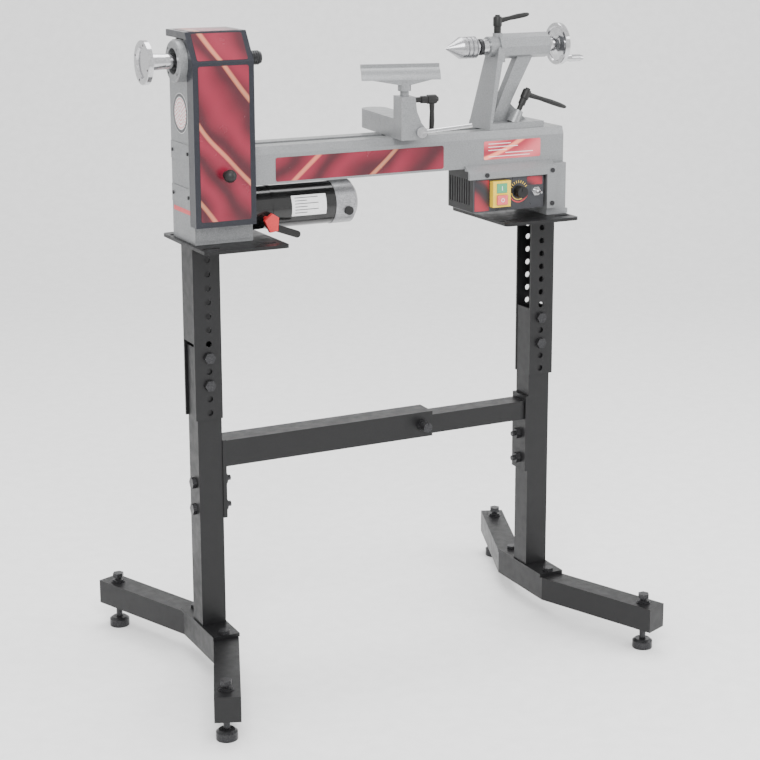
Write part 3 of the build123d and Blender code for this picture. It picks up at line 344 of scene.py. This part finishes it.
# %% [markdown]
# ## Film on the belt cover
# The cover's face is one tall film, with a second one on the slope above it and a third on the top.
# They stop ten millimetres short of the edge, so that the dark shell frames them.

# %% Cover films
cover_low, cover_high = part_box("belt_cover")
film = 0.0004
cover_mid = (cover_low.x + cover_high.x) / 2
film_width = (cover_high.x - cover_low.x) - 0.020
bend_z = 1.131
face_height = bend_z - cover_low.z - 0.016
rounded_slab("cover_face_film", film_width, face_height, film, 0.004,
             on_front(cover_mid, cover_low.y, cover_low.z + 0.010 + face_height / 2), "cover_film", "cover")
slope_back = -0.024
slope = math.atan2(cover_high.z - bend_z, slope_back - cover_low.y)
slope_length = math.hypot(cover_high.z - bend_z, slope_back - cover_low.y)
slope_place = (Matrix.Translation((cover_mid, (cover_low.y + slope_back) / 2, (bend_z + cover_high.z) / 2))
               @ Matrix.Rotation(slope, 4, "X"))
rounded_slab("cover_slope_film", film_width, slope_length - 0.008, film, 0.003, slope_place, "cover_film", "cover")
top_depth = cover_high.y - slope_back - 0.016
rounded_slab("cover_top_film", film_width, top_depth, film, 0.004,
             Matrix.Translation((cover_mid, (cover_high.y + slope_back) / 2, cover_high.z)), "cover_film", "cover")
print("cover films", round(film_width, 4), round(face_height, 4), "slope", round(math.degrees(slope), 1))

# %% [markdown]
# ## Plates on the bed
# A long film runs along the bed's face and a shorter, paler one sits near the tailstock end. Both
# stay free of lettering: the bands alone fill them. Thin pale rules stand where small print would be.

# %% Bed films
bed_face = -0.047
rounded_slab("bed_long_film", 0.338, 0.043, film, 0.004, on_front(-0.051, bed_face, 0.9365), "bed_film", "lathe")
rounded_slab("bed_short_film", 0.123, 0.0345, film, 0.003, on_front(0.265, bed_face, 0.9425), "notice_film", "lathe")
for k, (left, length) in enumerate(((0.213, 0.048), (0.213, 0.064), (0.213, 0.040), (0.250, 0.060), (0.213, 0.090))):
    rounded_slab(f"bed_rule_{k}", length, 0.0012, 0.0002, 0.0004,
                 on_front(left + length / 2, bed_face - film, 0.9545 - 0.006 * k), "pale_print", "lathe")
print("bed films on y", bed_face)

# %% [markdown]
# ## The headstock's left side
# Small plain pieces break up the tall grey side: a round badge with a ring of dots, a thin red strip
# between the two access plates. A plain sill closes the foot of the casting below the cover.

# %% Headstock side
side_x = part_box("headstock")[0].x
badge = on_left(side_x, 0.017, 1.0385)
turned("badge_plate", ((0, 0.0), (0.0355, 0.0), (0.0355, 0.0004), (0, 0.0004)), badge, "pale_print", "lathe")
turned("badge_ring", ((0.029, 0.0004), (0.0345, 0.0004), (0.0345, 0.0007), (0.029, 0.0007), (0.029, 0.0004)),
       badge, "dark_print", "lathe")
for ring_index, (radius, count) in enumerate(((0.006, 6), (0.0125, 12), (0.019, 18), (0.0255, 24))):
    for k in range(count):
        a = 2 * math.pi * k / count
        spot = badge @ Matrix.Translation((radius * math.cos(a), radius * math.sin(a), 0.0004))
        turned(f"badge_dot_{ring_index}_{k}", ((0, 0), (0.0017, 0), (0.0015, 0.0003), (0, 0.0004)), spot,
               "red_print", "lathe", 12)
rounded_slab("side_strip", 0.008, 0.084, film, 0.001, on_left(side_x, 0.019, 0.8665), "red_print", "lathe")
rounded_slab("headstock_sill", 0.104, 0.030, 0.0012, 0.001, on_front(-0.3171, -0.040, 0.8330), "grey_paint", "lathe")
print("side pieces at x", round(side_x, 4))

# %% [markdown]
# ## The control face
# A dark film covers the face between the bezel's edges. Round the speed dial there are two arcs, and
# a ring of ticks as on any dial. The keys carry the usual I and O as raised marks.

# %% Control face
panel_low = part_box("control_panel")[0]
switch_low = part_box("switch_frame")[0]
panel_y = panel_low.y
left_part = switch_low.x - panel_low.x - 0.004
rounded_slab("control_left_film", left_part, 0.058, 0.0003, 0.002,
             on_front(panel_low.x + 0.002 + left_part / 2, panel_y, 0.860), "control_film", "lathe")
rounded_slab("control_corner_film", 0.034, 0.016, 0.0003, 0.002, on_front(0.307, panel_y, 0.8815), "control_film",
             "lathe")


def dial_arc(name, radius, width, first, last, finish):
    """A flat arc round the speed dial that swells from its first angle to its last."""
    steps, thick, rows = 28, 0.0004, []
    for k in range(steps + 1):
        a = math.radians(first + (last - first) * k / steps)
        swell = width * (0.35 + 0.65 * k / steps)
        rows.append([(r * math.cos(a), r * math.sin(a), lift)
                     for r in (radius - swell / 2, radius + swell / 2) for lift in (0.0, thick)])
    return strip(name, rows, finish, on_front(dial_x, panel_y, dial_z))


dial_low, dial_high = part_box("speed_dial")
dial_x = (dial_low.x + dial_high.x) / 2
dial_z = (dial_low.z + dial_high.z) / 2
dial_arc("dial_arc_yellow", 0.0155, 0.0028, 190, 330, "yellow_print")
dial_arc("dial_arc_red", 0.0200, 0.0036, 185, 338, "red_print")
for k in range(9):
    a = math.radians(30 + 15 * k)
    tick = on_front(dial_x, panel_y, dial_z) @ Matrix.Rotation(a, 4, "Z") @ Matrix.Translation((0.0185, 0, 0))
    rounded_slab(f"dial_tick_{k}", 0.005, 0.0011, 0.0004, 0.0004, tick, "yellow_print", "lathe")
for k in range(16):
    a = 2 * math.pi * k / 16
    rib = (on_front(dial_x, dial_low.y + 0.010, dial_z) @ Matrix.Rotation(a, 4, "Z")
           @ Matrix.Translation((0.0108, 0, -0.004)))
    rounded_slab(f"dial_rib_{k}", 0.0009, 0.0016, 0.011, 0.0003, rib, "moulded_black", "dial")

green_low, green_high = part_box("green_button")
red_low, red_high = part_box("red_button")
key_x = (green_low.x + green_high.x) / 2
rounded_slab("start_mark", 0.0014, 0.008, 0.0003, 0.0005,
             on_front(key_x, green_low.y, (green_low.z + green_high.z) / 2), "pale_print", "green_push")
turned("stop_mark", ((0.0026, 0), (0.0038, 0), (0.0038, 0.0003), (0.0026, 0.0003), (0.0026, 0)),
       on_front(key_x, red_low.y, (red_low.z + red_high.z) / 2), "pale_print", "red_push")
print("dial centre", round(dial_x, 3), round(dial_z, 3))

# %% [markdown]
# ## Film on the motor
# A pale plate wraps the front of the motor. It follows the curve, so it is a bent strip rather than a
# slab, and grey rules stand for its small print.

# %% Motor plate
motor_low, motor_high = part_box("motor_body")
motor_axis = ((motor_low.y + motor_high.y) / 2, (motor_low.z + motor_high.z) / 2)
motor_radius = 0.039


def wrapped_plate(name, x0, x1, first, last, lift, finish):
    """A strip that hugs the motor between two angles measured from straight towards the operator."""
    steps, thick, rows = 14, 0.0003, []
    for k in range(steps + 1):
        a = math.radians(first + (last - first) * k / steps)
        rows.append([(x, motor_axis[0] - r * math.cos(a), motor_axis[1] + r * math.sin(a))
                     for r in (motor_radius + lift - thick, motor_radius + lift) for x in (x0, x1)])
    return strip(name, rows, finish)


wrapped_plate("motor_plate", -0.180, -0.112, -22, 34, 0.0004, "pale_print")
for k in range(6):
    wrapped_plate(f"motor_rule_{k}", -0.174, -0.150 if k % 2 else -0.128, 26 - 8 * k, 28 - 8 * k, 0.0006, "dark_print")
print("motor radius", motor_radius)

# %% [markdown]
# ## Clamp levers
# Each clamp lever is a moulded handle: a round hub, then an arm that narrows and flattens and ends in
# a soft tip. The solids keep a plain bar for the physics. Here a loft of rounded rings replaces it,
# shaded smooth across its soft edges, which gives the drooping shape of a real moulding.

# %% Lever helper
def clamp_lever(name, node, body, place, stem, length, rise):
    """Loft the lever about the Z of place, its handle going out along X, then hide the plain solid."""
    work = bmesh.new()
    around = 20

    def ring(centre, up_axis, side_axis, half_side, half_up):
        turns = [2 * math.pi * k / around for k in range(around)]
        return [work.verts.new(centre + side_axis * (half_side * math.cos(a)) + up_axis * (half_up * math.sin(a)))
                for a in turns]

    def skin(rings):
        for one, two in zip(rings, rings[1:]):
            for k in range(around):
                n = (k + 1) % around
                work.faces.new((one[k], one[n], two[n], two[k]))
        work.faces.new(list(reversed(rings[0])))
        work.faces.new(rings[-1])

    x_axis, y_axis, z_axis = Vector((1, 0, 0)), Vector((0, 1, 0)), Vector((0, 0, 1))
    hub = ((0.005, 0.0), (0.005, stem - 0.008), (0.0068, stem - 0.0078), (0.0070, stem + 0.004), (0.0084, stem + 0.005),
           (0.0085, stem + 0.020), (0.0074, stem + 0.0225), (0.0050, stem + 0.023), (0.0046, stem + 0.0258))
    skin([ring(z_axis * h, y_axis, x_axis, r, r) for r, h in hub])
    slope_up = math.radians(rise)
    along = x_axis * math.cos(slope_up) + z_axis * math.sin(slope_up)
    upward = z_axis * math.cos(slope_up) - x_axis * math.sin(slope_up)
    root = z_axis * (stem + 0.014)
    arm = ((0.004, 0.0038, 0.0050, 0.0), (0.012, 0.0036, 0.0050, 0.0), (0.35 * length, 0.0036, 0.0042, 0.0002),
           (0.62 * length, 0.0040, 0.0050, 0.0), (0.85 * length, 0.0040, 0.0046, -0.0006),
           (0.95 * length, 0.0034, 0.0036, -0.0008), (0.985 * length, 0.002, 0.002, -0.0008))
    skin([ring(root + along * d + upward * drop, upward, y_axis, a, b) for d, a, b, drop in arm])
    bmesh.ops.recalc_face_normals(work, faces=work.faces)
    for face in work.faces:
        face.smooth = True
    work.transform(place)
    piece = add_piece(name, work, "moulded_black", body, 50)
    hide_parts(node)
    return piece


def frame_from(origin, x_axis, z_axis):
    """A matrix with this origin, X and Z."""
    x_axis, z_axis = Vector(x_axis).normalized(), Vector(z_axis).normalized()
    y_axis = z_axis.cross(x_axis)
    return Matrix(((x_axis.x, y_axis.x, z_axis.x, origin[0]), (x_axis.y, y_axis.y, z_axis.y, origin[1]),
                   (x_axis.z, y_axis.z, z_axis.z, origin[2]), (0, 0, 0, 1)))


joints = {joint["name"]: joint for joint in frame["joints"]}


def pivot(name):
    """The place and the axis of a joint."""
    return joints[name]["pos_m"], joints[name]["axis"]


place, axis = pivot("quill_lock_turn")
clamp_lever("quill_lever", "quill_lock", "quill_handle", frame_from(place, (1, 0, 0), axis), 0.008, 0.070, 10)
place, axis = pivot("tail_clamp_turn")
clamp_lever("tail_lever", "tail_clamp_lever", "tail_handle", frame_from(place, (axis[2], 0, -axis[0]), axis),
            0.020, 0.096, 9)
place, axis = pivot("post_lock_turn")
clamp_lever("post_lever", "post_lock", "post_handle", frame_from(place, (0, 0, -1), axis), 0.024, 0.062, 0)
print("levers at", [round(v, 3) for v in place])

# %% [markdown]
# ## Bright ways
# The casting is painted, but the two ways on top of the bed are ground bare. They are one face of the
# same casting, so a second material goes on the faces that look straight up at that height.

# %% Ground ways
bed_mesh = nodes["bed"].data
bed_mesh.materials.append(finishes["machined_top"])
ways_height = 0.9787
ground = 0
for face in bed_mesh.polygons:
    if face.normal.z > 0.99 and abs(face.center.z - ways_height) < 0.0005:
        face.material_index = 1
        ground += 1
print("ground faces:", ground)

# %% [markdown]
# ## Floor, light and camera
# A pale floor that curves up behind, a large soft light from the front left, a weaker one from the
# right and a pale sky give even light with soft shadows, so the black stand still shows its edges.

# %% Studio
world = bpy.data.worlds.new("studio_sky")
bpy.context.scene.world = world
world.use_nodes = True
world.node_tree.nodes["Background"].inputs["Color"].default_value = (1.0, 1.0, 1.0, 1.0)
world.node_tree.nodes["Background"].inputs["Strength"].default_value = 1.45

floor_finish = coated("studio_floor", (0.86, 0.86, 0.86), (0.9, 0.9, 0.9), 30, (0.6, 0.7), 0.00001)
work = bmesh.new()
profile = [(-8.0, 0.0), (3.0, 0.0)]
profile += [(3.0 + 2.0 * math.sin(math.radians(a)), 2.0 - 2.0 * math.cos(math.radians(a))) for a in range(10, 91, 10)]
profile += [(5.0, 8.0)]
left_edge = [work.verts.new((-9.0, y, z - 0.0002)) for y, z in profile]
right_edge = [work.verts.new((9.0, y, z - 0.0002)) for y, z in profile]
for k in range(len(profile) - 1):
    work.faces.new((left_edge[k], right_edge[k], right_edge[k + 1], left_edge[k + 1]))
for face in work.faces:
    face.smooth = True
sweep_mesh = bpy.data.meshes.new("studio_sweep")
work.to_mesh(sweep_mesh)
work.free()
sweep_mesh.materials.append(floor_finish)
sweep = bpy.data.objects.new("studio_sweep", sweep_mesh)
sweep.rotation_euler = (0, 0, math.radians(-26.7))
bpy.context.scene.collection.objects.link(sweep)


def soft_light(name, place, target, size, watts):
    """A square area light that looks at a target."""
    lamp = bpy.data.lights.new(name, "AREA")
    lamp.shape = "SQUARE"
    lamp.size = size
    lamp.energy = watts
    lamp_object = bpy.data.objects.new(name, lamp)
    lamp_object.location = place
    lamp_object.rotation_mode = "QUATERNION"
    lamp_object.rotation_quaternion = (Vector(target) - Vector(place)).to_track_quat("-Z", "Y")
    bpy.context.scene.collection.objects.link(lamp_object)


soft_light("key_light", (-1.2, -2.6, 2.9), (0, 0, 0.7), 1.8, 130)
soft_light("fill_light", (2.6, -1.4, 1.8), (0, 0, 0.7), 2.0, 50)
soft_light("top_light", (0.2, 0.6, 3.2), (0, 0, 0.8), 2.0, 80)

# %% [markdown]
# ## Camera
# The lens is long, so the posts stay nearly parallel. The view is turned to the operator's left and
# looks slightly down. A small vertical shift frames the whole stand without tilting the posts.

# %% Camera
yaw, pitch, roll = math.radians(26.733), math.radians(12.256), math.radians(-0.17)
forward = Vector((math.sin(yaw) * math.cos(pitch), math.cos(yaw) * math.cos(pitch), -math.sin(pitch)))
right = Vector((math.cos(yaw), -math.sin(yaw), 0))
up = right.cross(forward)
right, up = right * math.cos(roll) + up * math.sin(roll), up * math.cos(roll) - right * math.sin(roll)
camera_data = bpy.data.cameras.new("camera")
camera_data.sensor_width = 36.0
frame_widths_away = 1834.2 / 760.0
camera_data.lens = frame_widths_away * camera_data.sensor_width
camera_data.shift_y = -0.12
camera_data.clip_end = 60
camera = bpy.data.objects.new("camera", camera_data)
camera.matrix_world = Matrix(((right.x, up.x, -forward.x, -1.4996), (right.y, up.y, -forward.y, -2.9956),
                              (right.z, up.z, -forward.z, 1.4182), (0, 0, 0, 1)))
bpy.context.scene.collection.objects.link(camera)
bpy.context.scene.camera = camera
print("lens", round(camera_data.lens, 1), "mm")
